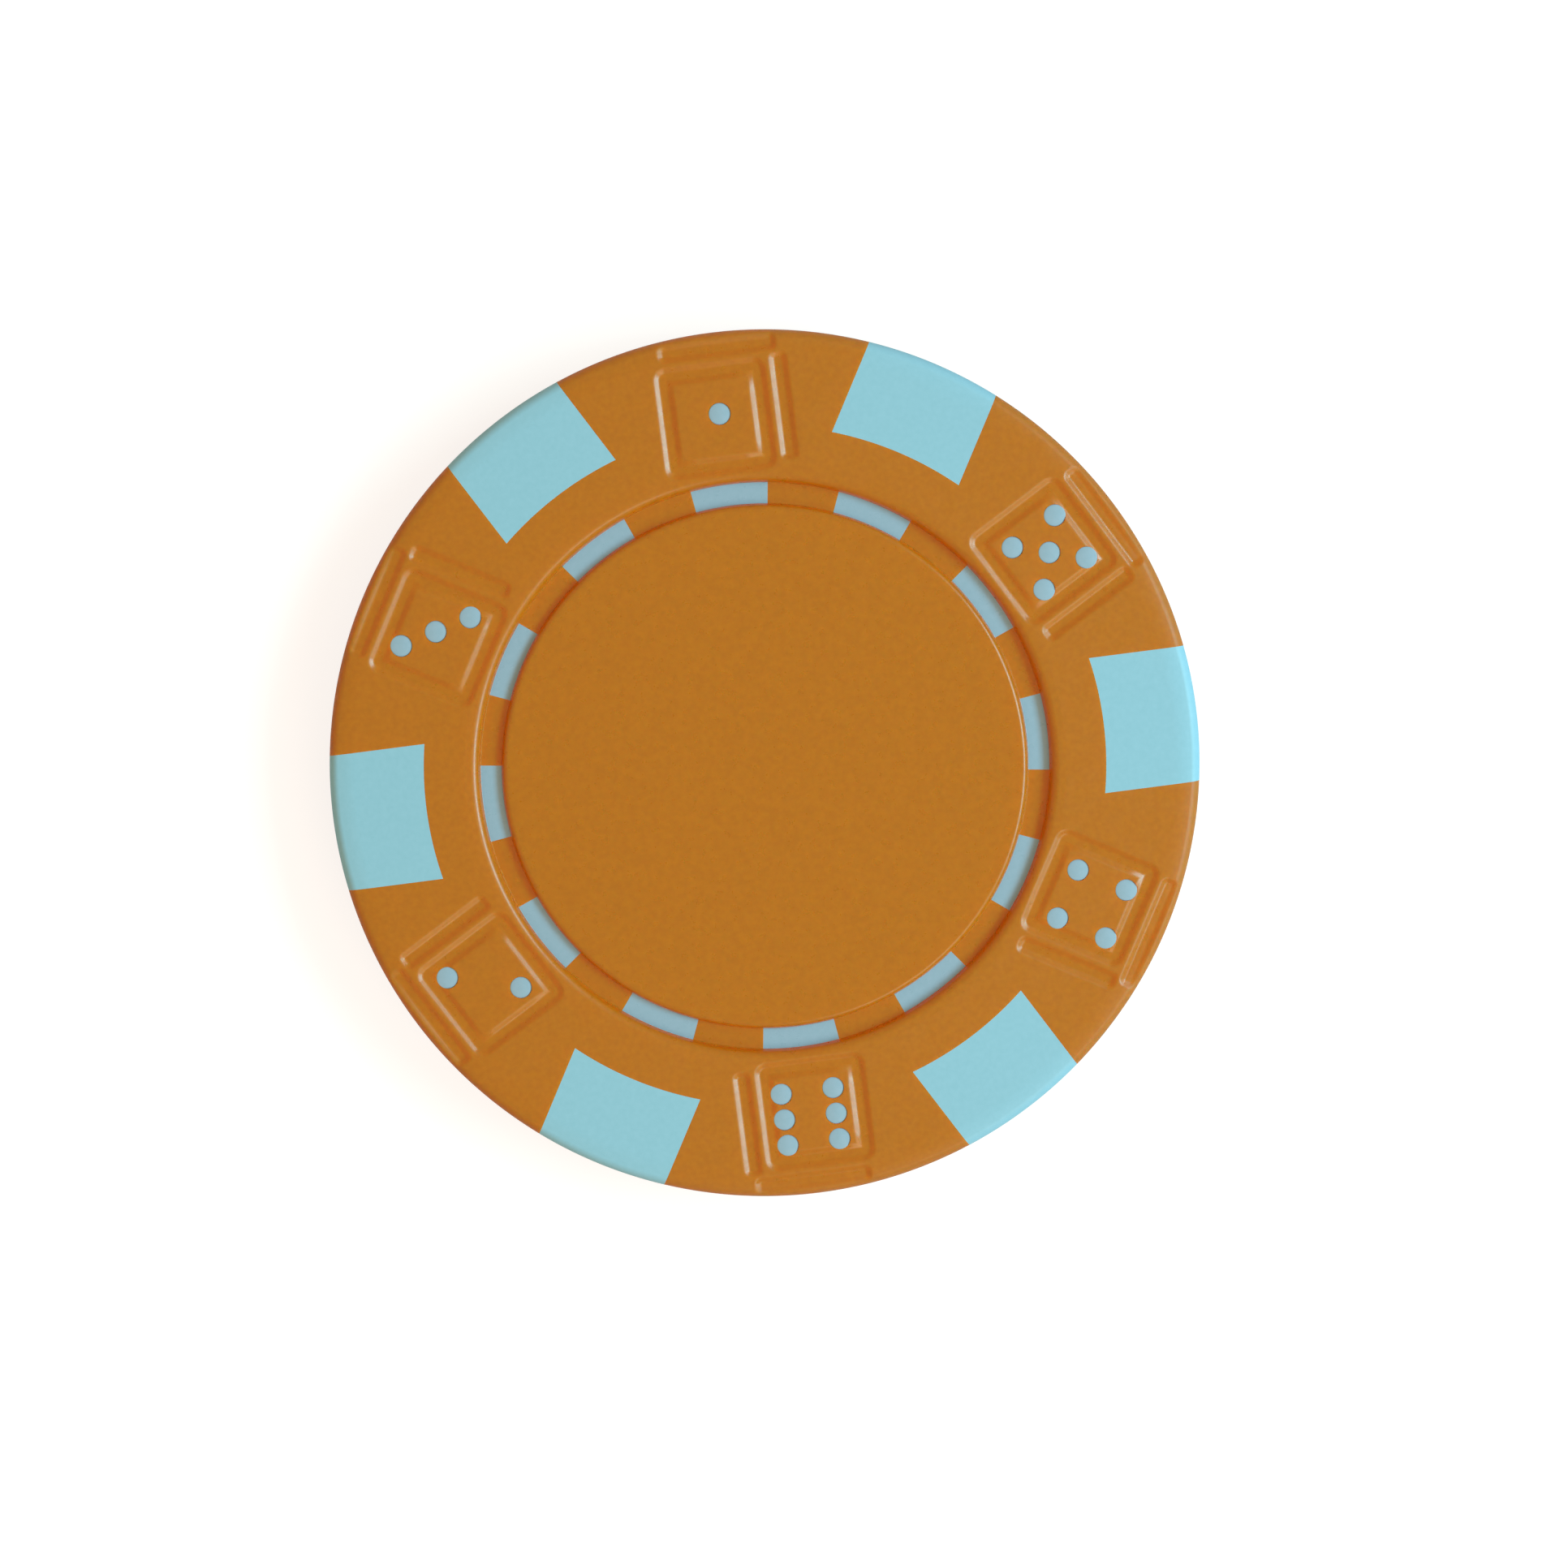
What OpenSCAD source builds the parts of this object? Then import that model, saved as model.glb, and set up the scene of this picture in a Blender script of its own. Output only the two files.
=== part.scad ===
// Moulded poker chip with dice round the rim.
// A steel slug lies in a white carrier, six white edge spots are keyed to the carrier,
// and the orange body is moulded over them all. Both faces carry the same design.
// The chip lies flat on its back face: Z is its axis and +X runs through edge spot 1.

/* [Chip] */
// Diameter of the chip
chip_d = 39; // [37:0.5:44]
// Thickness of the chip
chip_t = 3.3; // [3:0.1:4]
// Rounding of the rim's two edges
rim_edge_r = 0.5; // [0.2:0.05:0.7]
// Width of the rim field, from the groove's wall to the edge of the chip
field_w = 6.65; // [6:0.05:7.5]

/* [Groove and centre disc] */
// Width of the groove
groove_w = 1.14; // [0.8:0.02:1.6]
// Depth of the groove's floor below the rim field
groove_depth = 0.55; // [0.45:0.05:0.6]
// Rounding of the groove's outer lip
groove_lip_r = 0.28; // [0.1:0.02:0.3]
// Depth of the centre disc below the rim field
disc_recess = 0.15; // [0.1:0.05:0.2]
// Rounding of the centre disc's edge
disc_edge_r = 0.2; // [0.04:0.02:0.24]

/* [White spots] */
// Width of an edge spot across its parallel sides
edge_spot_w = 6.1; // [4:0.1:7]
// Depth of an edge spot, from the edge of the chip inwards
edge_spot_depth = 4.25; // [3.6:0.05:5]
// Angle that a ring spot fills in the groove
ring_spot_angle = 15.6; // [10:0.2:20]

/* [Dice] */
// Width of an engraved line at the face
line_w = 0.78; // [0.6:0.02:0.9]
// Width of an engraved line's floor
line_floor_w = 0.34; // [0.2:0.02:0.5]
// Depth of an engraved line
line_depth = 0.12; // [0.08:0.01:0.2]
// Rounding inside the corners of a die's frame line
frame_corner_r = 0.04; // [0.02:0.01:0.3]
// Width of the ridge between the frame line and a bar line
ridge_w = 0.22; // [0.14:0.02:0.5]
// Gap between the groove's wall and a die
die_gap = 0.37; // [0.32:0.01:0.7]
// Gap between a die's outer bar and the edge of the chip
die_rim_gap = 0.33; // [0.3:0.01:0.8]
// How far a die's frame is shifted from its pips, towards the groove and away from the side bar
die_shift = 0.2; // [0:0.02:0.4]
// How much longer the outer bar is than the frame
outer_bar_extra = 0.3; // [0:0.05:0.6]
// How far the outer bar is shifted along the frame
outer_bar_shift = 0.45; // [0:0.05:0.6]
// How much shorter the side bar is than the frame
side_bar_trim = 0.2; // [0:0.05:0.6]
// How far the side bar is shifted along the frame
side_bar_shift = 0.2; // [0:0.05:0.4]
// Diameter of a pip
pip_d = 0.98; // [0.7:0.02:1.1]
// Distance between two corner pips along a side
pip_pitch = 2.35; // [2.2:0.01:2.6]
// Height of a pip's crown
pip_crown = 0.06; // [0.02:0.01:0.1]

/* [Slug] */
// Plastic between the slug's edge and the edge of the chip
slug_rim_w = 6.5; // [6:0.05:7.5]
// Thickness of the steel slug
slug_t = 1.7; // [1.2:0.1:2]
// Rounding of the slug's stamped edges
slug_edge_r = 0.2; // [0.05:0.05:0.4]
// Diameter of the circle of tie holes
slug_hole_circle_d = 14; // [10:0.5:18]
// Diameter of a tie hole
slug_hole_d = 2.6; // [1.5:0.1:3.5]

/* [Carrier] */
// Thickness of the carrier's hoop
hoop_t = 1; // [0.7:0.05:1.2]
// Plastic outside the outermost pips
hoop_margin = 0.1; // [0.05:0.05:0.2]
// Length of a claw under the centre disc
claw_tuck = 0.35; // [0.1:0.05:0.6]
// Length of a claw's root outside the slug
claw_root = 1.15; // [0.8:0.05:1.4]
// Diameter of a flow hole through the hoop
flow_hole_d = 1.1; // [0.6:0.05:1.2]
// Diameter of the post that keys an edge spot to the hoop
key_post_d = 1.4; // [0.8:0.1:1.8]

/* [Hidden] */
$fn = 96;

// Pips of the dice, counter-clockwise from the first die beside +X
die_pips = [5, 1, 3, 2, 6, 4];
// Places of the pips in half pitches, clockwise and outwards, for one to six pips
pip_place_shares = [
    [[0, 0]],
    [[1, 1], [-1, -1]],
    [[-1, 1], [0, 0], [1, -1]],
    [[-1, 1], [1, 1], [-1, -1], [1, -1]],
    [[-1, 1], [1, 1], [0, 0], [-1, -1], [1, -1]],
    [[-1, 1], [-1, 0], [-1, -1], [1, 1], [1, 0], [1, -1]],
];
// How far past tangent a lip's arc meets the face, as a share of its radius
lip_share = 0.04;

sector = 360 / len(die_pips);
half_sector = sector / 2;
// Overrun of every cut
over = 0.2;
chip_r = chip_d / 2;
mid_z = chip_t / 2;

groove_out_r = chip_r - field_w;
disc_r = groove_out_r - groove_w;
floor_z = chip_t - groove_depth;

// The radial stack of a die: gap, frame, ridge, outer bar, gap
die_size = field_w - die_gap - ridge_w - line_w - die_rim_gap;
die_r = groove_out_r + die_gap + die_size / 2;
pip_r = die_r + die_shift;
pip_step = pip_pitch / 2;
bar_offset = die_size / 2 + ridge_w + line_w / 2;

slug_r = chip_r - slug_rim_w;
edge_spot_r = chip_r - edge_spot_depth;
hoop_r = norm([pip_r + pip_step, pip_step]) + pip_d / 2 + hoop_margin;
claw_in_r = disc_r - claw_tuck;
claw_out_r = max(groove_out_r, slug_r) + claw_root;
key_post_r = (edge_spot_r + hoop_r) / 2;
// The flow holes stand between the spots, in the middle of the hoop inside the edge spots
flow_hole_r = (slug_r + edge_spot_r + flow_hole_d) / 2;

// Front and back: the back is the front turned over about X
module both_faces() {
    children();
    translate([0, 0, chip_t]) rotate([180, 0, 0]) children();
}

// One copy in each sector, the first at the angle given
module each_sector(start = 0) {
    for (i = [0 : len(die_pips) - 1]) rotate(start + i * sector) children();
}

// The dice of one face: child modules read the die's number from $die
module each_die() {
    for (i = [0 : len(die_pips) - 1]) {
        $die = die_pips[i];
        rotate(half_sector + i * sector) children();
    }
}

// Half section of the chip with plain faces and rounded rim edges
module blank_section() {
    difference() {
        square([chip_r, chip_t]);
        rim_edge_waste();
        translate([0, chip_t]) mirror([0, 1]) rim_edge_waste();
    }
}

// What the rounding takes off the lower rim edge
module rim_edge_waste() {
    difference() {
        translate([chip_r - rim_edge_r, -over]) square([rim_edge_r + over, rim_edge_r + over]);
        translate([chip_r - rim_edge_r, rim_edge_r]) circle(rim_edge_r);
    }
}

module blank() {
    rotate_extrude() blank_section();
}

// Half section of what the groove and the disc's recess take off the front
module groove_section() {
    lip_x = groove_out_r + groove_lip_r;
    lip_y = chip_t - groove_lip_r * (1 - lip_share);
    edge_x = disc_r - disc_edge_r;
    edge_y = chip_t - disc_recess - disc_edge_r * (1 - lip_share);
    translate([0, chip_t - disc_recess]) square([disc_r, disc_recess + over]);
    translate([disc_r, floor_z]) square([groove_w, groove_depth + over]);
    difference() {
        translate([groove_out_r, lip_y]) square([groove_lip_r, groove_lip_r + over]);
        translate([lip_x, lip_y]) circle(groove_lip_r);
    }
    difference() {
        translate([edge_x, edge_y]) square([disc_edge_r, disc_edge_r + over]);
        translate([edge_x, edge_y]) circle(disc_edge_r);
    }
}

module groove() {
    rotate_extrude() groove_section();
}

// Section of an engraved line, with the face at zero height: a flat floor between sloping walls
module line_section() {
    over_w = line_w + (line_w - line_floor_w) * over / line_depth;
    polygon([
        [-line_floor_w / 2, -line_depth],
        [line_floor_w / 2, -line_depth],
        [over_w / 2, over],
        [-over_w / 2, over],
    ]);
}

// A straight run along X, centred
module line_run(length) {
    rotate([90, 0, 90]) translate([0, 0, -length / 2]) linear_extrude(length) line_section();
}

// A turn about Z, with the middle of the line at the radius given
module line_turn(angle, radius) {
    rotate_extrude(angle = angle) intersection() {
        translate([radius, 0]) line_section();
        translate([0, -line_depth]) square([radius + line_w + over, line_depth + over]);
    }
}

// A bar along X with round ends
module line_bar(length) {
    run = length - line_w;
    line_run(run);
    translate([run / 2, 0]) rotate(-90) line_turn(180, 0);
    translate([-run / 2, 0]) rotate(90) line_turn(180, 0);
}

// A square frame line with turned corners
module line_frame() {
    turn_r = line_w / 2 + frame_corner_r;
    run = die_size - line_w - 2 * turn_r;
    for (quarter = [0 : 3]) rotate(quarter * 90) {
        translate([0, run / 2 + turn_r]) line_run(run);
        translate([run / 2, run / 2]) line_turn(90, turn_r);
    }
}

// The engraved lines of one die on the front, on +X: a frame, and two bars that suggest the cube behind it
module die_lines() {
    translate([die_r, die_shift, chip_t]) {
        line_frame();
        translate([bar_offset, -outer_bar_shift]) rotate(90) line_bar(die_size + outer_bar_extra);
        translate([side_bar_shift, -bar_offset]) line_bar(die_size - side_bar_trim);
    }
}

// The places of one die's pips, on +X
module each_pip() {
    for (place = pip_place_shares[$die - 1])
        translate([pip_r + place[1] * pip_step, -place[0] * pip_step]) children();
}

// A pip's peg, from the middle of the chip up to its crown
module pip_peg() {
    crown_r = (pow(pip_d / 2, 2) + pow(pip_crown, 2)) / (2 * pip_crown);
    intersection() {
        translate([0, 0, mid_z]) cylinder(h = mid_z + over, d = pip_d);
        translate([0, 0, chip_t - crown_r]) sphere(crown_r);
    }
}

// The hole that a peg fills in the body
module pip_bore() {
    translate([0, 0, mid_z]) cylinder(h = mid_z + over, d = pip_d);
}

// One ring spot of the front on +X: a claw from the hoop up to the groove's floor
module claw() {
    rotate(-ring_spot_angle / 2) rotate_extrude(angle = ring_spot_angle)
        translate([claw_in_r, mid_z]) square([claw_out_r - claw_in_r, floor_z - mid_z]);
}

module claws() {
    each_sector() claw();
    each_sector(half_sector) claw();
}

// The hoop at half height, before its holes
module hoop_disc() {
    translate([0, 0, mid_z - hoop_t / 2]) cylinder(h = hoop_t, r = hoop_r);
}

// The hole for the key post on +X
module key_hole() {
    translate([key_post_r, 0]) cylinder(h = chip_t, d = key_post_d);
}

// A flow hole on +X
module flow_hole() {
    translate([flow_hole_r, 0]) cylinder(h = chip_t, d = flow_hole_d);
}

// The slug without its tie holes
module slug_disc() {
    translate([0, 0, mid_z - slug_t / 2]) rotate_extrude() difference() {
        square([slug_r, slug_t]);
        slug_edge_waste();
        translate([0, slug_t]) mirror([0, 1]) slug_edge_waste();
    }
}

// What the rounding takes off the slug's lower edge
module slug_edge_waste() {
    difference() {
        translate([slug_r - slug_edge_r, -over]) square([slug_edge_r + over, slug_edge_r + over]);
        translate([slug_r - slug_edge_r, slug_edge_r]) circle(slug_edge_r);
    }
}

// The space of one edge spot, on +X
module edge_spot_space() {
    difference() {
        translate([0, -edge_spot_w / 2, -over]) cube([chip_r + over, edge_spot_w, chip_t + 2 * over]);
        translate([0, 0, -2 * over]) cylinder(h = chip_t + 4 * over, r = edge_spot_r);
    }
}

module steel_slug() {
    color("silver") difference() {
        slug_disc();
        each_sector() translate([slug_hole_circle_d / 2, 0]) cylinder(h = chip_t, d = slug_hole_d);
    }
}

// The carrier without its pips
module carrier_shape() {
    difference() {
        union() {
            hoop_disc();
            both_faces() claws();
        }
        slug_disc();
        each_sector() key_hole();
        each_sector(half_sector / 2) flow_hole();
        each_sector(-half_sector / 2) flow_hole();
    }
}

module pip_carrier() {
    color("paleturquoise") union() {
        carrier_shape();
        difference() {
            both_faces() each_die() each_pip() pip_peg();
            slug_disc();
        }
    }
}

module edge_spot(number) {
    color("paleturquoise") rotate((number - 1) * sector) difference() {
        intersection() {
            blank();
            edge_spot_space();
        }
        slug_disc();
        difference() {
            union() {
                hoop_disc();
                both_faces() claw();
            }
            key_hole();
        }
    }
}

module chip_body() {
    color("darkorange") difference() {
        blank();
        both_faces() groove();
        both_faces() each_die() die_lines();
        both_faces() each_die() each_pip() pip_bore();
        steel_slug();
        carrier_shape();
        each_sector() edge_spot_space();
    }
}

steel_slug();
pip_carrier();
edge_spot(1);  // edge_spot_1
edge_spot(2);  // edge_spot_2
edge_spot(3);  // edge_spot_3
edge_spot(4);  // edge_spot_4
edge_spot(5);  // edge_spot_5
edge_spot(6);  // edge_spot_6
chip_body();
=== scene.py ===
"""A moulded dice poker chip on a white table.

The chip's skins are built here, finer than the CAD meshes. Both faces come from one plan of the front, cut
along every line of the design, and the white pieces sit in pockets of the orange body. Lengths are in mm
where the chip is drawn and in metres on the stage. Angles are in degrees where nothing else is said.
"""

import math

import bpy
import numpy as np
from mathutils import Matrix, Vector, geometry, kdtree


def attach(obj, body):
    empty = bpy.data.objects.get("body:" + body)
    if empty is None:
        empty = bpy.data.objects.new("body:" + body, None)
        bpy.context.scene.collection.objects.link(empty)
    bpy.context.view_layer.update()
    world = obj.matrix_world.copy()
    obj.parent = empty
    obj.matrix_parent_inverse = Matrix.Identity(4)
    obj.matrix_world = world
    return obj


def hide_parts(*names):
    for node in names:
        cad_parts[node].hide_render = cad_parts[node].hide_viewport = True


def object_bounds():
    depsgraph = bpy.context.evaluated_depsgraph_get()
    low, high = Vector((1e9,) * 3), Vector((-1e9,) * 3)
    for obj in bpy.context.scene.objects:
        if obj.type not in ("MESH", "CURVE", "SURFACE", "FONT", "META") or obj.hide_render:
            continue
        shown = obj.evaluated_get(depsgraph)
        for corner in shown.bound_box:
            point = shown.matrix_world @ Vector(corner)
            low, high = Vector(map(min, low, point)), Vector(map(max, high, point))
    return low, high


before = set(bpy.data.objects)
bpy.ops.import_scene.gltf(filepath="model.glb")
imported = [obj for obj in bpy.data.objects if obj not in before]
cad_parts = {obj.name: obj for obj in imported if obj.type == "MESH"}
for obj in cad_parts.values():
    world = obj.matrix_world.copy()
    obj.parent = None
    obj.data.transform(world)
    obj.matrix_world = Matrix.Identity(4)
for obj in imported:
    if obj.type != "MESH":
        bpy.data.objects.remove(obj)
cad_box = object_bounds()

MM = 0.001
CHIP_R = cad_box[1].y / MM
CHIP_T = cad_box[1].z / MM

# Section of a face
RIM_EDGE_R = 0.5
FIELD_W = 6.65
GROOVE_W = 1.14
GROOVE_DEPTH = 0.55
LIP_R = 0.42
LIP_FALL = 0.03
LIP_FALL_W = 0.6
LIP_FALL_R = 1.5
RIM_FALL = 0.1
RIM_FALL_W = 0.85
RIM_FALL_R = 5.5
DISC_RECESS = 0.15
DISC_EDGE_R = 0.28
FOOT_R = 0.02
WALL_DRAFT = 0.1

# White pieces
EDGE_SPOT_W = 6.1
EDGE_SPOT_DEPTH = 4.25
RING_SPOTS = 12
RING_SPOT_ANGLE = 15.6
RING_SPOT_MARGIN = 0.1
PIP_D = 0.98
PIP_CROWN = 0.04
PIP_EDGE_R = 0.03
PIP_LENGTH = 0.16
# Here the spots are thin inlays, and light goes on spreading in the orange beneath them
INLAY_T = 0.05

# Dice
LINE_DEPTH = 0.14
LINE_FLOOR_W = 0.19
LINE_WALL_W = 0.4
WALL_ROUND_SHARE = 0.35
LINE_PITCH = 1.0
FRAME_SIDE = 4.17
FRAME_TURN_R = 0.15
DIE_R = 15.695
PIP_R = 15.887
DIE_SHIFT = 0.22
OUTER_BAR_RUN = 4.47
OUTER_BAR_SHIFT = 0.45
SIDE_BAR_RUN = 3.97
SIDE_BAR_SHIFT = 0.2
PIP_PITCH = 2.35
DIE_PIPS = (5, 1, 3, 2, 6, 4)
PIP_PLACES = (
    ((0, 0),),
    ((1, 1), (-1, -1)),
    ((-1, 1), (0, 0), (1, -1)),
    ((-1, 1), (1, 1), (-1, -1), (1, -1)),
    ((-1, 1), (1, 1), (0, 0), (-1, -1), (1, -1)),
    ((-1, 1), (-1, 0), (-1, -1), (1, 1), (1, 0), (1, -1)),
)

# Fineness of the meshes
SECTION_STEPS = 8
CORNER_STEPS = 8
LONGEST_RUN = 0.7
SPOT_ARC_POINTS = 25
SPOT_SIDE_POINTS = 7
PIP_SIDES = 40
QUARTER_SHARES = (0.25, 0.5, 0.75, 1)
WALL_SHARES = (0, 0.09, 0.18, 0.26, 0.35, 0.65, 0.74, 0.82, 0.91, 1)

# Tolerances of the plan; CHORD_SAG is how far a chord of one degree lies inside the groove's circles
NEAR = 0.001
SLOPE_STEP = 0.001
CHORD_SAG = 0.0005
STOP_CLEARANCE = 0.3
PLACE_DIGITS = 5
RADIUS_DIGITS = 6
CROSSING_GAP = 1e-6

# Plastics: two tones each, and how far red, green and blue light spread inside the orange
BODY_TONES = ((0.374, 0.123, 0.003), (0.414, 0.143, 0.003))
SPOT_TONES = ((0.217, 0.484, 0.643), (0.233, 0.504, 0.671))
CARRIER_TONES = ((0.236, 0.399, 0.534), (0.257, 0.417, 0.561))
BODY_SCATTER = (1.5, 0.25, 0.08)
PLASTIC_ROUGHNESS = 0.3
WORN_ROUGHNESS = 0.08
RIM_ROUGHNESS = 0.2
POLISH_SPREAD = 0.04
GRAIN_STRENGTH = 0.1
GRAIN_DEPTH = 0.02
# Depths under a face, and distances from the rim, where wear begins and where it is full
FACE_WEAR_START = 0.07
FACE_WEAR_FULL = 0.005
RIM_WEAR_START = 0.7
RIM_WEAR_FULL = 0.2
# Noises count their scale per metre, and their values lie mostly between two limits
TONE_SCALE = 4000
TONE_DETAIL = 6
POLISH_SCALE = 2600
POLISH_DETAIL = 3
GRAIN_SCALE = 9000
GRAIN_DETAIL = 2
NOISE_LOW = 0.3
NOISE_HIGH = 0.7

# Steel of the slug; its noise counts its scale over the slug's width
STEEL_SHADE = 0.5
ROLLING_SCALE = 3000

# Floor and lights: bearings are counted from the picture's right, powers are in watts
FLOOR_HALF = 8
FLOOR_SHADE = 0.3
FLOOR_GLOW = 0.78
SKY_STRENGTH = 0.55
SKY_COLOUR = (1.42, 1, 0.62)
LAMP_DISTANCE = 0.4
WINDOW_BEARINGS = (-8, 18)
WINDOW_ELEVATION = 38
WINDOW_SIZE = (0.17, 0.11)
WINDOW_POWER = 0.62
WINDOW_COLOUR = (0.55, 1.1, 1.25)
ROOM_BEARING = -55
ROOM_ELEVATION = 42
ROOM_SIZE = (0.2, 0.12)
ROOM_POWER = 0.28
ROOM_COLOUR = (1.1, 1, 0.8)

# The photograph's camera: nearly straight above, turned a little against the chip
CAMERA_ROLL = -7.32
CAMERA_BEARING = 92
CAMERA_ELEVATION = 84.77
CAMERA_DISTANCE = 0.15
CAMERA_TARGET = Vector((0.00073, -0.00079, CHIP_T * MM))
CAMERA_LENS = 77.04
CAMERA_SENSOR = 36
CAMERA_CLIP = 0.005

# Worked out from the sizes above; each sector has an edge spot at its start and a die in its middle
SECTORS = len(DIE_PIPS)
SECTOR = 360 / SECTORS
RING_SECTOR = 360 / RING_SPOTS
MID_Z = CHIP_T / 2
DISC_Z = CHIP_T - DISC_RECESS
FLOOR_Z = CHIP_T - GROOVE_DEPTH
SPOT_FOOT_Z = FLOOR_Z - INLAY_T
PIP_FOOT_Z = CHIP_T - PIP_LENGTH
GROOVE_R = CHIP_R - FIELD_W
DISC_R = GROOVE_R - GROOVE_W
EDGE_SPOT_R = CHIP_R - EDGE_SPOT_DEPTH
RING_IN_R = DISC_R + RING_SPOT_MARGIN
RING_OUT_R = GROOVE_R - RING_SPOT_MARGIN
RIM_START_R = CHIP_R - RIM_EDGE_R - NEAR
BAR_OFFSET = FRAME_SIDE / 2 + LINE_PITCH
PIP_CIRCLE = np.radians(np.linspace(0, 360, PIP_SIDES, endpoint=False))

# Owners of the plan's triangles; each edge spot has a number of its own
BODY = 0
FIRST_EDGE_SPOT = 1
RING_SPOT = FIRST_EDGE_SPOT + SECTORS
PIP = RING_SPOT + 1


def turned(x, y, degrees):
    """Points turned about the chip's axis."""
    cosine, sine = math.cos(math.radians(degrees)), math.sin(math.radians(degrees))
    return x * cosine - y * sine, x * sine + y * cosine


def die_angle(number):
    """Angle of the middle of a die."""
    return SECTOR * (number + 0.5)


def pip_places():
    """Middles of all the pips of the front."""
    places = []
    for number, pips in enumerate(DIE_PIPS):
        for clockwise, outward in PIP_PLACES[pips - 1]:
            x = PIP_R + outward * PIP_PITCH / 2
            places.append(turned(x, -clockwise * PIP_PITCH / 2, die_angle(number)))
    return places


# The section of a face


def rounded_section(corners):
    """Samples of a section given as corners with radius, height and rounding.

    Each sample has a radius, a height and the outward tilt of the normal in radians.
    """
    samples = []
    for last, (radius, height, rounding), following in zip(corners, corners[1:], corners[2:]):
        corner = Vector((radius, height))
        before = (corner - Vector(last[:2])).normalized()
        after = (Vector(following[:2]) - corner).normalized()
        tilt_before = math.atan2(-before.y, before.x)
        tilt_after = math.atan2(-after.y, after.x)
        tangent = rounding * math.tan(abs(tilt_after - tilt_before) / 2)
        side = 1 if tilt_after > tilt_before else -1
        start = corner - before * tangent
        middle = start + Vector((before.y, -before.x)) * rounding * side
        for step in range(SECTION_STEPS + 1):
            tilt = tilt_before + (tilt_after - tilt_before) * step / SECTION_STEPS
            out = Vector((math.sin(tilt), math.cos(tilt))) * rounding * side
            samples.append((middle.x + out.x, middle.y + out.y, tilt))
    return np.array(samples)


SECTION = rounded_section((
    (0, DISC_Z, 0),
    (DISC_R, DISC_Z, DISC_EDGE_R),
    (DISC_R + WALL_DRAFT, FLOOR_Z, FOOT_R),
    (GROOVE_R - WALL_DRAFT, FLOOR_Z, FOOT_R),
    (GROOVE_R, CHIP_T - LIP_FALL, LIP_R),
    (GROOVE_R + LIP_FALL_W, CHIP_T, LIP_FALL_R),
    (CHIP_R - RIM_FALL_W, CHIP_T, RIM_FALL_R),
    (CHIP_R, CHIP_T - RIM_FALL, RIM_EDGE_R),
    (CHIP_R, 0, 0),
))


# The relief of the dice


def frame_distance(x, y):
    """Distance from the floor of a die's frame line."""
    past_x = np.abs(x) - FRAME_SIDE / 2 + FRAME_TURN_R
    past_y = np.abs(y) - FRAME_SIDE / 2 + FRAME_TURN_R
    outside = np.hypot(np.maximum(past_x, 0), np.maximum(past_y, 0))
    inside = np.minimum(np.maximum(past_x, past_y), 0)
    return np.abs(outside + inside - FRAME_TURN_R) - LINE_FLOOR_W / 2


def bar_distance(along, across, run):
    """Distance from the floor of a bar."""
    over_end = np.maximum(np.abs(along) - run / 2 - LINE_FLOOR_W / 2, 0)
    return np.hypot(over_end, np.maximum(np.abs(across) - LINE_FLOOR_W / 2, 0))


def line_depth(x, y):
    """Depth of the engraved lines under points of the front face."""
    nearest = np.full(np.shape(x), LINE_WALL_W)
    for number in range(SECTORS):
        die_x, die_y = turned(x, y, -die_angle(number))
        die_x, die_y = die_x - DIE_R, die_y - DIE_SHIFT
        outer_bar = bar_distance(die_y + OUTER_BAR_SHIFT, die_x - BAR_OFFSET, OUTER_BAR_RUN)
        side_bar = bar_distance(die_x - SIDE_BAR_SHIFT, die_y + BAR_OFFSET, SIDE_BAR_RUN)
        for distance in (frame_distance(die_x, die_y), outer_bar, side_bar):
            nearest = np.minimum(nearest, distance)
    from_foot = np.clip(nearest / LINE_WALL_W, 0, 1)
    from_end = np.minimum(from_foot, 1 - from_foot)
    rounded = from_end**2 / (2 * WALL_ROUND_SHARE)
    straight = from_end - WALL_ROUND_SHARE / 2
    rise = np.where(from_end < WALL_ROUND_SHARE, rounded, straight) / (1 - WALL_ROUND_SHARE)
    return LINE_DEPTH * np.where(from_foot < 0.5, 1 - rise, rise)


def face_points(plan):
    """Points of the front face over points of its plan, and their normals."""
    x, y = plan[:, 0], plan[:, 1]
    radius = np.hypot(x, y)
    height = np.interp(radius, SECTION[:, 0], SECTION[:, 1])
    tilt = np.interp(radius, SECTION[:, 0], SECTION[:, 2], left=0)
    slope_x = (line_depth(x + SLOPE_STEP, y) - line_depth(x - SLOPE_STEP, y)) / (2 * SLOPE_STEP)
    slope_y = (line_depth(x, y + SLOPE_STEP) - line_depth(x, y - SLOPE_STEP)) / (2 * SLOPE_STEP)
    out = np.sin(tilt) / np.maximum(radius, NEAR)
    up = np.cos(tilt)
    normals = np.column_stack((out * x + up * slope_x, out * y + up * slope_y, up))
    normals /= np.linalg.norm(normals, axis=1)[:, None]
    return np.column_stack((x, y, height - line_depth(x, y))), normals


# The plan of the front face


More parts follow.
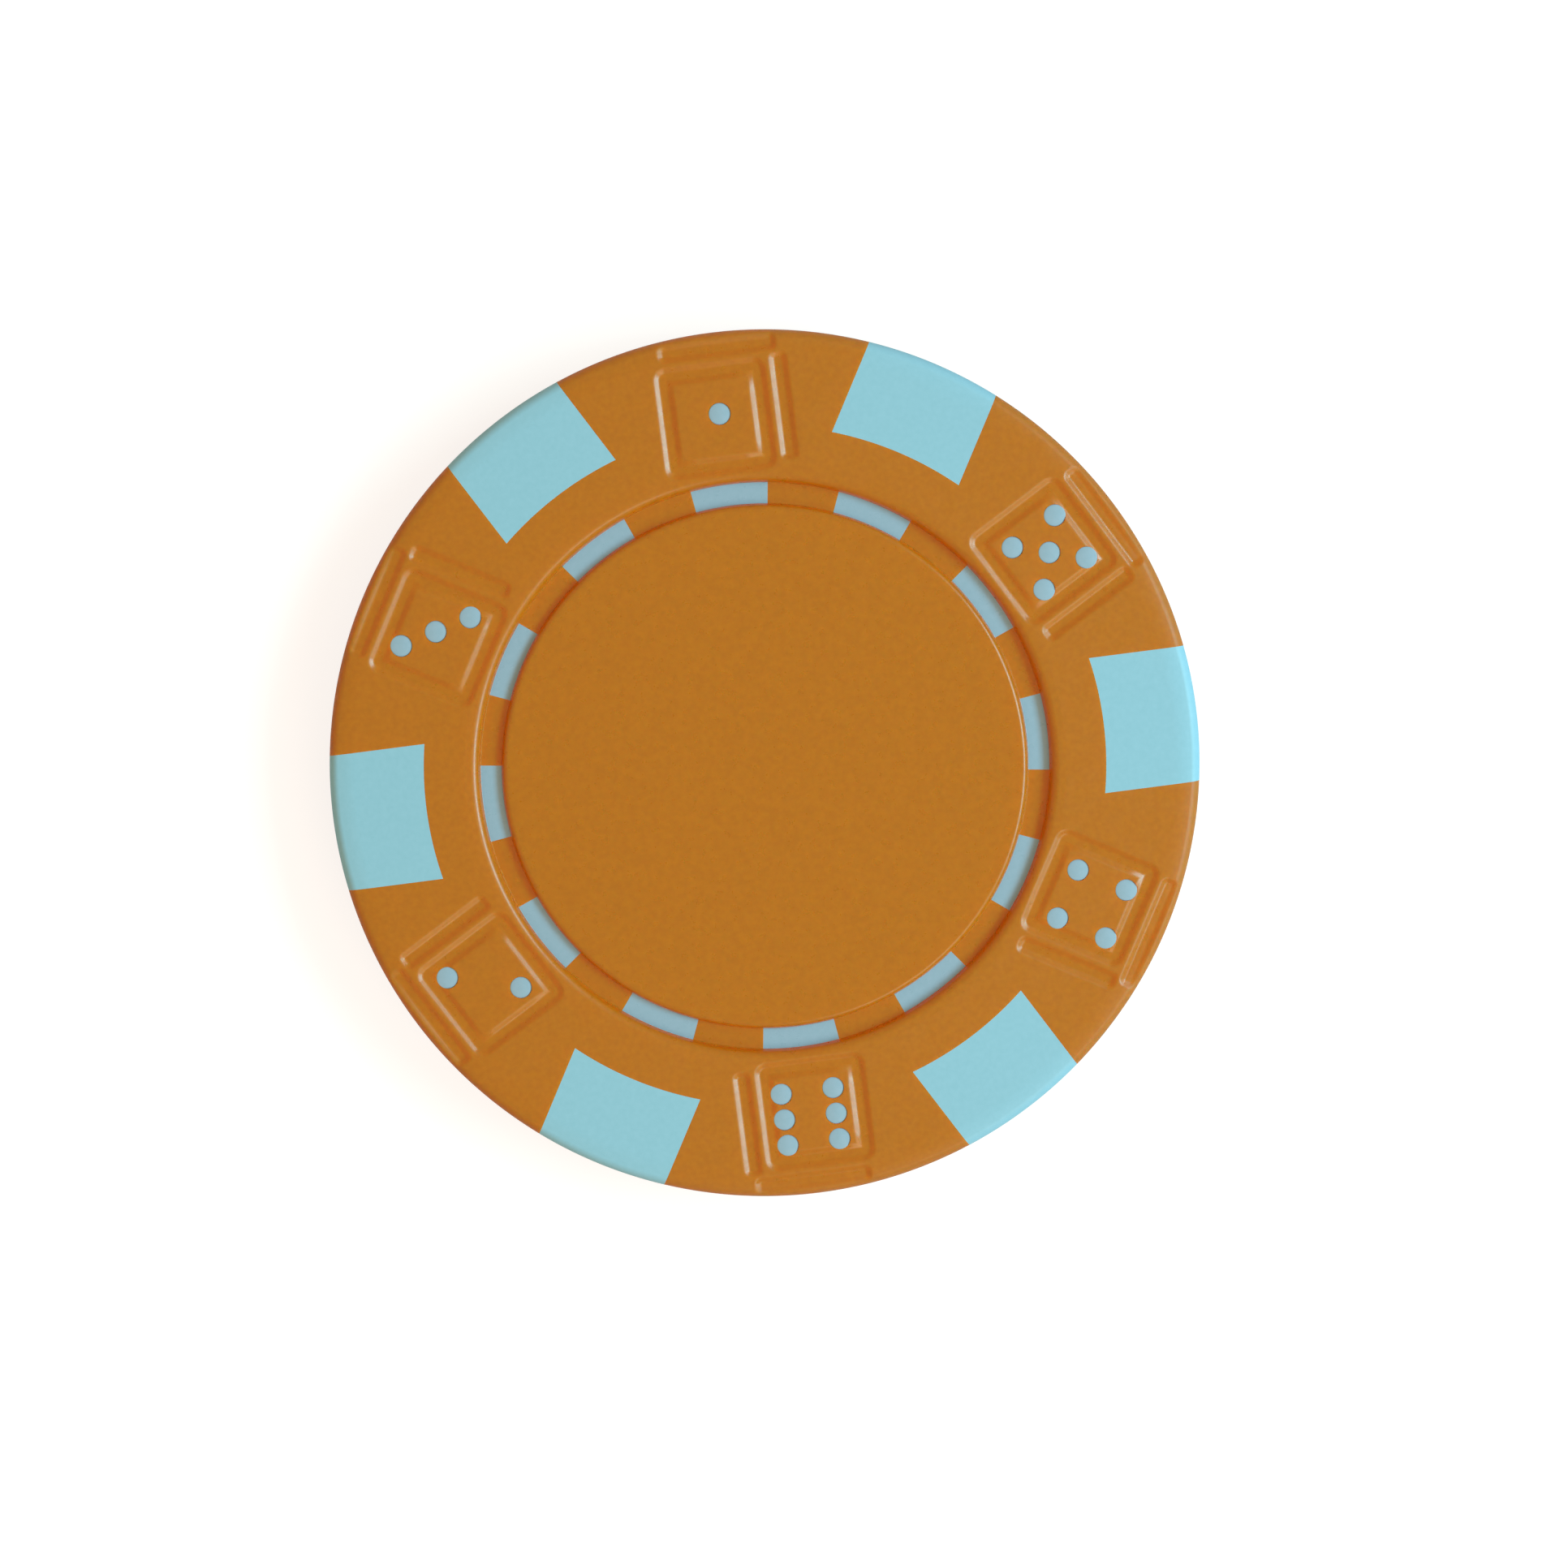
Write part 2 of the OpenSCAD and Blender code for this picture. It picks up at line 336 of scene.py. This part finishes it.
class Plan:
    """Points of the front face in plan and the lines that its triangles keep."""

    def __init__(self):
        self.points = []
        self.lines = set()
        self.index = {}

    def add(self, x, y, closed=True):
        """A line through the points given."""
        ids = []
        for point in zip(x, y):
            key = (round(point[0], PLACE_DIGITS), round(point[1], PLACE_DIGITS))
            if key not in self.index:
                self.index[key] = len(self.points)
                self.points.append(point)
            if not ids or ids[-1] != self.index[key]:
                ids.append(self.index[key])
        ends = ids[1:] + ids[:1] if closed else ids[1:]
        self.lines.update((min(pair), max(pair)) for pair in zip(ids, ends) if pair[0] != pair[1])

    def triangles(self):
        """All points, some of them new where lines cross, and the triangles between them."""
        points = [Vector(p) for p in self.points]
        out = geometry.delaunay_2d_cdt(points, list(self.lines), [], 0, CROSSING_GAP)
        return np.array([tuple(v) for v in out[0]]), np.array(out[2])


def spot_half_angle(radius):
    """Half the angle that an edge spot fills at a radius."""
    return math.degrees(math.asin(EDGE_SPOT_W / 2 / radius))


def spot_sides(sector, half):
    """Angles of both sides of all the spots that stand a sector apart."""
    return np.ravel(np.add.outer(np.arange(0, 360, sector), (-half, half))) % 360


def circle_angles(stops):
    """Angles for a circle of the plan, in radians: whole degrees, or stops in place of those near them."""
    degrees = np.arange(360)
    gaps = np.abs((degrees[:, None] - stops[None] + 180) % 360 - 180)
    clear = gaps.min(1, initial=180) > STOP_CLEARANCE
    return np.radians(np.sort(np.concatenate((degrees[clear], stops))))


def section_radii():
    """Radii of the plan's circles."""
    return sorted(set(np.round(SECTION[:, 0], RADIUS_DIGITS)) | {RING_IN_R, RING_OUT_R})


def draw_rings(plan):
    """The circles of the section, and the sides of the ring spots."""
    ring_sides = spot_sides(RING_SECTOR, RING_SPOT_ANGLE / 2)
    for radius in section_radii():
        stops = np.empty(0)
        if RING_IN_R - NEAR < radius < RING_OUT_R + NEAR:
            stops = ring_sides
        elif radius > RIM_START_R:
            stops = spot_sides(SECTOR, spot_half_angle(radius))
        angles = circle_angles(stops)
        plan.add(radius * np.cos(angles), radius * np.sin(angles))
    ends = np.array((RING_IN_R, RING_OUT_R))
    for angle in np.radians(ring_sides):
        plan.add(ends * math.cos(angle), ends * math.sin(angle), closed=False)


def draw_edge_spots(plan):
    """The outlines of the edge spots: an arc inside and two straight sides."""
    half = spot_half_angle(EDGE_SPOT_R)
    arc = np.radians(np.linspace(-half, half, SPOT_ARC_POINTS))
    inner_x = EDGE_SPOT_R * math.cos(arc[0])
    rim_x = [math.sqrt(r * r - EDGE_SPOT_W**2 / 4) for r in section_radii() if r > RIM_START_R]
    side_x = np.concatenate((np.linspace(inner_x, rim_x[0], SPOT_SIDE_POINTS), rim_x[1:]))
    for number in range(SECTORS):
        angle = number * SECTOR
        plan.add(*turned(EDGE_SPOT_R * np.cos(arc), EDGE_SPOT_R * np.sin(arc), angle), closed=False)
        for side in (-1, 1):
            side_y = np.full(len(side_x), side * EDGE_SPOT_W / 2)
            plan.add(*turned(side_x, side_y, angle), closed=False)


def split_runs(outline):
    """A closed outline whose long straight runs are cut into shorter ones."""
    cut = []
    for start, end in zip(outline, np.roll(outline, -1, axis=0)):
        parts = max(1, round(math.dist(start, end) / LONGEST_RUN))
        cut.extend(start + (end - start) * k / parts for k in range(parts))
    return np.array(cut)


def rounded_outline(width, height, radius):
    """A closed rectangle round the origin with rounded corners."""
    angles = np.radians(np.linspace(0, 90, CORNER_STEPS + 1)) if radius > 0 else np.zeros(1)
    corners = []
    for quarter in range(4):
        half_x, half_y = (width / 2, height / 2) if quarter % 2 == 0 else (height / 2, width / 2)
        x = half_x - radius + radius * np.cos(angles)
        y = half_y - radius + radius * np.sin(angles)
        corners.append(np.column_stack(turned(x, y, 90 * quarter)))
    return split_runs(np.concatenate(corners))


def draw_die(plan, angle):
    """The lines of a die as nested outlines, one for each level of their walls."""

    def draw(outline, x, y):
        plan.add(*turned(outline[:, 0] + DIE_R + x, outline[:, 1] + DIE_SHIFT + y, angle))

    for share in WALL_SHARES:
        reach = share * LINE_WALL_W
        for side in (-1, 1):
            offset = side * (LINE_FLOOR_W / 2 + reach)
            length = FRAME_SIDE + 2 * offset
            draw(rounded_outline(length, length, max(FRAME_TURN_R + offset, 0)), 0, 0)
        width = LINE_FLOOR_W + 2 * reach
        draw(rounded_outline(width, OUTER_BAR_RUN + width, reach), BAR_OFFSET, -OUTER_BAR_SHIFT)
        draw(rounded_outline(SIDE_BAR_RUN + width, width, reach), SIDE_BAR_SHIFT, -BAR_OFFSET)


def draw_pips(plan):
    """The circles of the pips."""
    for x, y in pip_places():
        plan.add(x + PIP_D / 2 * np.cos(PIP_CIRCLE), y + PIP_D / 2 * np.sin(PIP_CIRCLE))


def owners(middles):
    """The owner of each triangle of the plan, from the triangles' middles."""
    x, y = middles[:, 0], middles[:, 1]
    radius, angle = np.hypot(x, y), np.degrees(np.arctan2(y, x))
    owner = np.full(len(middles), BODY)
    in_ring = (radius > RING_IN_R - CHORD_SAG) & (radius < RING_OUT_R - CHORD_SAG)
    from_spot = np.abs((angle + RING_SECTOR / 2) % RING_SECTOR - RING_SECTOR / 2)
    owner[in_ring & (from_spot < RING_SPOT_ANGLE / 2)] = RING_SPOT
    for number in range(SECTORS):
        along, across = turned(x, y, -number * SECTOR)
        in_spot = (along > 0) & (np.abs(across) < EDGE_SPOT_W / 2) & (radius > EDGE_SPOT_R)
        owner[in_spot] = FIRST_EDGE_SPOT + number
    for pip_x, pip_y in pip_places():
        owner[np.hypot(x - pip_x, y - pip_y) < PIP_D / 2] = PIP
    return owner


# Meshes


class Skin:
    """A mesh in the making, with a normal for each corner of each face."""

    def __init__(self):
        self.points = []
        self.faces = []
        self.normals = []

    def add(self, points, faces, normals=None):
        """Adds faces over new points, with the points' normals if given.

        Returns the number of the first point.
        """
        first = len(self.points)
        self.points.extend(map(tuple, points))
        for face in faces:
            self.face([first + i for i in face], None if normals is None else [normals[i] for i in face])
        return first

    def face(self, ids, normals=None):
        """Adds one face over points that are there already, flat if no normals are given."""
        if normals is None:
            normals = [geometry.normal([Vector(self.points[i]) for i in ids])] * len(ids)
        self.faces.append(tuple(ids))
        self.normals.extend(tuple(n) for n in normals)

    def join(self, other, flip=False):
        """Adds another skin, inside out if asked, and returns the number of its first point."""
        first = len(self.points)
        self.points.extend(other.points)
        corner = 0
        for face in other.faces:
            ids = [first + i for i in face]
            normals = other.normals[corner : corner + len(face)]
            corner += len(face)
            if flip:
                ids, normals = ids[::-1], [(-x, -y, -z) for x, y, z in normals[::-1]]
            self.face(ids, normals)
        return first

    def wall(self, upper, lower):
        """Joins two closed rows of points, the solid lying on the left of the upper row."""
        for i in range(len(upper)):
            j = (i + 1) % len(upper)
            self.face((lower[i], lower[j], upper[j], upper[i]))

    def close(self, loop, level):
        """Closes a border by an upright wall to a level and a flat face there."""
        ends = [(*self.points[i][:2], level) for i in loop]
        first = self.add(ends, [])
        lower = range(first, first + len(loop))
        self.wall(loop, lower)
        self.face(lower[::-1])

    def build(self, name, material, slot, node):
        """Makes the object, in the frame's metres, in place of a CAD node."""
        mesh = bpy.data.meshes.new(name)
        mesh.from_pydata([Vector(p) * MM for p in self.points], [], self.faces)
        mesh.polygons.foreach_set("use_smooth", np.ones(len(self.faces), bool))
        mesh.normals_split_custom_set(self.normals)
        mesh.materials.append(material)
        piece = bpy.data.objects.new(name, mesh)
        bpy.context.scene.collection.objects.link(piece)
        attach(piece, "root")
        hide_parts(node)
        return piece


def border_loops(faces):
    """The closed borders of some faces, each with its faces on the left."""
    edges = {pair for face in faces for pair in zip(face, (*face[1:], face[0]))}
    following = {a: b for a, b in edges if (b, a) not in edges}
    loops = []
    while following:
        start, point = following.popitem()
        loop = [start]
        while point != start:
            loop.append(point)
            point = following.pop(point)
        loops.append(loop)
    return loops


def on_back(points, normals):
    """Points and normals of the back face for those of the front."""
    turn = (1, -1, -1)
    return points * turn + (0, 0, CHIP_T), normals * turn


class Face:
    """The front face in triangles, shared by all skins."""

    def __init__(self):
        plan = Plan()
        draw_rings(plan)
        draw_edge_spots(plan)
        for number in range(SECTORS):
            draw_die(plan, die_angle(number))
        draw_pips(plan)
        points, self.triangles = plan.triangles()
        self.points, self.normals = face_points(points)
        self.owner = owners(points[self.triangles].mean(1))

    def patch(self, owner, back=False):
        """The triangles of one owner over their own points: points, triangles, normals and borders."""
        triangles = self.triangles[self.owner == owner]
        used, local = np.unique(triangles, return_inverse=True)
        triangles = local.reshape(-1, 3)
        points, normals = self.points[used], self.normals[used]
        if back:
            points, normals = on_back(points, normals)
        return points, triangles, normals, border_loops(triangles)


def sheet(face, front_owner, back_owner, sunk=0):
    """A skin over an owner's share of both faces and of the rim, sunk below the surface if asked."""
    skin = Skin()
    points, triangles, normals, loops = face.patch(front_owner)
    first = skin.add(points - sunk * normals, triangles, normals)
    back_points, triangles, back_normals, _ = face.patch(back_owner, back=True)
    back_first = skin.add(back_points - sunk * back_normals, triangles, back_normals)
    tree = kdtree.KDTree(len(back_points))
    for i, (x, y, _) in enumerate(back_points):
        tree.insert((x, y, 0), back_first + i)
    tree.balance()
    on_rim = np.hypot(points[:, 0], points[:, 1]) > CHIP_R - NEAR
    for loop in loops:
        for i, j in zip(loop, loop[1:] + loop[:1]):
            if on_rim[i] and on_rim[j]:
                below = [tree.find((*points[k, :2], 0))[1] for k in (i, j)]
                skin.face((*below, first + j, first + i), [normals[k] for k in (i, j, j, i)])
    return skin


def spot_sheets(face, number):
    """The outside of an edge spot and the same sheet sunk by the spot's thickness."""
    opposite = -number % SECTORS
    owners_of_spot = (FIRST_EDGE_SPOT + number, FIRST_EDGE_SPOT + opposite)
    return [sheet(face, *owners_of_spot, sunk) for sunk in (0, INLAY_T)]


def edge_spot_skin(face, number):
    """A white edge spot, wrapped round the rim."""
    skin, inside = spot_sheets(face, number)
    borders = border_loops(skin.faces)
    first = skin.join(inside, flip=True)
    for loop in borders:
        skin.wall(loop, [first + i for i in loop])
    return skin


def body_skin(face):
    """The orange body, with a shallow pocket for each white spot and pip."""
    skin = sheet(face, BODY, BODY)
    for loop in border_loops(skin.faces):
        rim = np.array([skin.points[i] for i in loop])
        round_the_rim = np.ptp(rim[:, 2]) > MID_Z
        if round_the_rim:
            continue
        is_pip = np.hypot(rim[:, 0], rim[:, 1]).min() > GROOVE_R
        level = PIP_FOOT_Z if is_pip else SPOT_FOOT_Z
        skin.close(loop, CHIP_T - level if rim[0, 2] < MID_Z else level)
    for number in range(SECTORS):
        outside, inside = spot_sheets(face, number)
        first = skin.join(inside)
        for loop in border_loops(outside.faces):
            upper = skin.add([outside.points[i] for i in loop], [])
            skin.wall([first + i for i in loop], range(upper, upper + len(loop)))
    return skin


def pip_section():
    """A pip's section from its foot up: radius, height and outward tilt of the normal in radians."""
    upright = math.pi / 2
    shoulder_z = CHIP_T - PIP_CROWN - PIP_EDGE_R
    section = [(PIP_D / 2, PIP_FOOT_Z, upright), (PIP_D / 2, shoulder_z, upright)]
    crown_r = (PIP_D**2 / 4 + PIP_CROWN**2) / (2 * PIP_CROWN)
    crown_tilt = math.asin((PIP_D / 2 - PIP_EDGE_R) / crown_r)
    for share in QUARTER_SHARES:
        tilt = upright + (crown_tilt - upright) * share
        radius = PIP_D / 2 - PIP_EDGE_R + PIP_EDGE_R * math.sin(tilt)
        section.append((radius, CHIP_T - PIP_CROWN - PIP_EDGE_R * (1 - math.cos(tilt)), tilt))
    for share in reversed(QUARTER_SHARES[:-1]):
        tilt = crown_tilt * share
        section.append((crown_r * math.sin(tilt), CHIP_T - crown_r * (1 - math.cos(tilt)), tilt))
    return section


def add_pip(skin, x, y, back):
    """Adds a crowned peg that fills its pocket."""
    section = pip_section()
    points, normals = [], []
    for radius, height, tilt in section:
        for angle in PIP_CIRCLE:
            out_x, out_y = math.cos(angle), math.sin(angle)
            points.append((x + radius * out_x, y + radius * out_y, height))
            normals.append((math.sin(tilt) * out_x, math.sin(tilt) * out_y, math.cos(tilt)))
    points.append((x, y, CHIP_T))
    normals.append((0, 0, 1))
    faces = []
    for ring in range(len(section) - 1):
        low, high = ring * PIP_SIDES, (ring + 1) * PIP_SIDES
        for i in range(PIP_SIDES):
            j = (i + 1) % PIP_SIDES
            faces.append((low + i, low + j, high + j, high + i))
    top = len(points) - 1
    last_ring = top - PIP_SIDES
    faces += [(last_ring + i, last_ring + (i + 1) % PIP_SIDES, top) for i in range(PIP_SIDES)]
    points, normals = np.array(points), np.array(normals)
    if back:
        points, normals = on_back(points, normals)
    first = skin.add(points, faces, normals)
    skin.face([first + i for i in reversed(range(PIP_SIDES))])


def carrier_skin(face):
    """The parts of the white carrier that show: ring spots and pips of both faces."""
    skin = Skin()
    for back in (False, True):
        points, triangles, normals, loops = face.patch(RING_SPOT, back)
        first = skin.add(points, triangles, normals)
        for loop in loops:
            skin.close([first + i for i in loop], CHIP_T - SPOT_FOOT_Z if back else SPOT_FOOT_Z)
        for x, y in pip_places():
            add_pip(skin, x, y, back)
    return skin


# Materials


class Look:
    """A new material, with its shader and the nodes that feed it."""

    def __init__(self, name):
        self.material = bpy.data.materials.new(name)
        self.material.use_nodes = True
        self.nodes = self.material.node_tree.nodes
        self.link = self.material.node_tree.links.new
        self.shader = self.nodes["Principled BSDF"]

    def set(self, socket, value):
        """Gives a socket of the shader a constant value."""
        self.shader.inputs[socket].default_value = value

    def feed(self, socket, value):
        """Feeds a socket of the shader by a node."""
        self.link(value, self.shader.inputs[socket])

    def noise(self, place, scale, detail):
        """Noise over places in metres."""
        node = self.nodes.new("ShaderNodeTexNoise")
        node.inputs["Scale"].default_value = scale
        node.inputs["Detail"].default_value = detail
        self.link(place, node.inputs["Vector"])
        return node.outputs["Fac"]

    def ramp(self, value, low, high, start, end):
        """A value mapped from one range to another."""
        node = self.nodes.new("ShaderNodeMapRange")
        for socket, number in (("From Min", low), ("From Max", high), ("To Min", start), ("To Max", end)):
            node.inputs[socket].default_value = number
        self.link(value, node.inputs["Value"])
        return node.outputs["Result"]

    def maths(self, operation, first, second):
        """Two values joined by an operation."""
        node = self.nodes.new("ShaderNodeMath")
        node.operation = operation
        self.link(first, node.inputs[0])
        self.link(second, node.inputs[1])
        return node.outputs[0]

    def shifted(self, vector, shift):
        """A vector less a constant one."""
        node = self.nodes.new("ShaderNodeVectorMath")
        node.operation = "SUBTRACT"
        self.link(vector, node.inputs[0])
        node.inputs[1].default_value = shift
        return node.outputs["Vector"]

    def length_along(self, vector, axes):
        """The length of what a vector has along some axes."""
        share = self.nodes.new("ShaderNodeVectorMath")
        share.operation = "MULTIPLY"
        self.link(vector, share.inputs[0])
        share.inputs[1].default_value = axes
        length = self.nodes.new("ShaderNodeVectorMath")
        length.operation = "LENGTH"
        self.link(share.outputs["Vector"], length.inputs[0])
        return length.outputs["Value"]


def moulded_plastic(name, tones, scatter=None):
    """Moulded plastic with mottled tones and fine grain, dull where it is worn, with light spread inside."""
    look = Look(name)
    place = look.nodes.new("ShaderNodeTexCoord").outputs["Object"]
    from_middle = look.shifted(place, (0, 0, MID_Z * MM))
    height = look.length_along(from_middle, (0, 0, 1))
    radius = look.length_along(from_middle, (1, 1, 0))
    on_face = look.ramp(height, (MID_Z - FACE_WEAR_START) * MM, (MID_Z - FACE_WEAR_FULL) * MM, 0, 1)
    on_rim = look.ramp(radius, (CHIP_R - RIM_WEAR_START) * MM, (CHIP_R - RIM_WEAR_FULL) * MM, 0, 1)

    mottle = look.nodes.new("ShaderNodeValToRGB")
    for element, position, tone in zip(mottle.color_ramp.elements, (NOISE_LOW, NOISE_HIGH), tones):
        element.position = position
        element.color = (*tone, 1)
    look.link(look.noise(place, TONE_SCALE, TONE_DETAIL), mottle.inputs["Fac"])
    look.feed("Base Color", mottle.outputs["Color"])

    worn = look.maths("MAXIMUM", on_face, on_rim)
    dull = look.ramp(worn, 0, 1, PLASTIC_ROUGHNESS, PLASTIC_ROUGHNESS + WORN_ROUGHNESS)
    dull = look.maths("ADD", dull, look.ramp(on_rim, 0, 1, 0, RIM_ROUGHNESS))
    polish = look.noise(place, POLISH_SCALE, POLISH_DETAIL)
    polish = look.ramp(polish, NOISE_LOW, NOISE_HIGH, -POLISH_SPREAD, POLISH_SPREAD)
    look.feed("Roughness", look.maths("ADD", dull, polish))

    grain = look.nodes.new("ShaderNodeBump")
    grain.inputs["Strength"].default_value = GRAIN_STRENGTH
    grain.inputs["Distance"].default_value = GRAIN_DEPTH * MM
    look.link(look.noise(place, GRAIN_SCALE, GRAIN_DETAIL), grain.inputs["Height"])
    look.feed("Normal", grain.outputs["Normal"])

    if scatter:
        look.shader.subsurface_method = "BURLEY"
        look.set("Subsurface Weight", 1)
        look.set("Subsurface Radius", scatter)
        look.set("Subsurface Scale", MM)
    return look.material


def stamped_steel():
    """Bright steel with fine rolling marks."""
    look = Look("slug_steel")
    look.set("Base Color", (STEEL_SHADE, STEEL_SHADE, STEEL_SHADE, 1))
    look.set("Metallic", 1)
    marks = look.nodes.new("ShaderNodeTexNoise")
    marks.inputs["Scale"].default_value = ROLLING_SCALE
    look.feed("Roughness", marks.outputs["Fac"])
    return look.material


# Stage


def white_stage():
    """A white floor on which the camera sees a light shadow of the chip."""
    mesh = bpy.data.meshes.new("floor")
    corners = [(x * FLOOR_HALF, y * FLOOR_HALF, 0) for x, y in ((-1, -1), (1, -1), (1, 1), (-1, 1))]
    mesh.from_pydata(corners, [], [(0, 1, 2, 3)])
    floor = bpy.data.objects.new("floor", mesh)
    bpy.context.scene.collection.objects.link(floor)
    look = Look("floor")
    look.set("Base Color", (FLOOR_SHADE, FLOOR_SHADE, FLOOR_SHADE, 1))
    look.set("Roughness", 1)
    look.set("Specular IOR Level", 0)
    look.set("Emission Color", (FLOOR_GLOW, FLOOR_GLOW, FLOOR_GLOW, 1))
    path = look.nodes.new("ShaderNodeLightPath")
    seen = path.outputs["Is Camera Ray"]
    for ray in ("Is Glossy Ray", "Is Transmission Ray"):
        seen = look.maths("MAXIMUM", seen, path.outputs[ray])
    look.feed("Emission Strength", seen)
    mesh.materials.append(look.material)


def soft_sky():
    """A plain dim sky, which the floor hides from the camera."""
    world = bpy.data.worlds.new("sky")
    bpy.context.scene.world = world
    world.use_nodes = True
    background = world.node_tree.nodes["Background"]
    background.inputs["Strength"].default_value = SKY_STRENGTH
    background.inputs["Color"].default_value = (*SKY_COLOUR, 1)


def direction(bearing, elevation):
    """A unit vector towards a bearing and an elevation."""
    around, up = math.radians(bearing), math.radians(elevation)
    return Vector((math.cos(up) * math.cos(around), math.cos(up) * math.sin(around), math.sin(up)))


def lamp(name, bearing, elevation, size, power, colour):
    """A soft box that faces the chip from a bearing in the picture."""
    data = bpy.data.lights.new(name, "AREA")
    data.shape = "RECTANGLE"
    data.size, data.size_y = size
    data.energy = power
    data.color = colour
    box = bpy.data.objects.new(name, data)
    bpy.context.scene.collection.objects.link(box)
    box.location = direction(bearing + CAMERA_ROLL, elevation) * LAMP_DISTANCE
    box.rotation_euler = box.location.to_track_quat("Z", "Y").to_euler()


def photo_camera():
    """The camera, with the picture's upright turned by its roll."""
    data = bpy.data.cameras.new("camera")
    data.lens = CAMERA_LENS
    data.sensor_width = CAMERA_SENSOR
    data.clip_start = CAMERA_CLIP
    camera = bpy.data.objects.new("camera", data)
    bpy.context.scene.collection.objects.link(camera)
    out = direction(CAMERA_BEARING, CAMERA_ELEVATION)
    upright = direction(CAMERA_ROLL + 90, 0)
    right = upright.cross(out).normalized()
    turn = Matrix((right, out.cross(right), out)).transposed().to_4x4()
    camera.matrix_world = Matrix.Translation(CAMERA_TARGET + out * CAMERA_DISTANCE) @ turn
    bpy.context.scene.camera = camera


orange = moulded_plastic("body_plastic", BODY_TONES, BODY_SCATTER)
aqua = moulded_plastic("spot_plastic", SPOT_TONES)
white = moulded_plastic("carrier_plastic", CARRIER_TONES)

front = Face()
body_skin(front).build("chip_body_skin", orange, "body_plastic", "chip_body")
inlays = [carrier_skin(front).build("pip_carrier_skin", white, "spot_plastic", "pip_carrier")]
for number in range(SECTORS):
    spot = edge_spot_skin(front, number)
    inlays.append(spot.build(f"edge_spot_{number + 1}_skin", aqua, "spot_plastic", f"edge_spot_{number + 1}"))
for inlay in inlays:
    inlay.visible_shadow = False
    inlay.visible_diffuse = False
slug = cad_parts["steel_slug"]
slug.data.materials.clear()
slug.data.materials.append(stamped_steel())

white_stage()
soft_sky()
for number, bearing in enumerate(WINDOW_BEARINGS):
    lamp(f"window_{number}", bearing, WINDOW_ELEVATION, WINDOW_SIZE, WINDOW_POWER, WINDOW_COLOUR)
lamp("room", ROOM_BEARING, ROOM_ELEVATION, ROOM_SIZE, ROOM_POWER, ROOM_COLOUR)
photo_camera()
bpy.context.scene.view_settings.view_transform = "Standard"
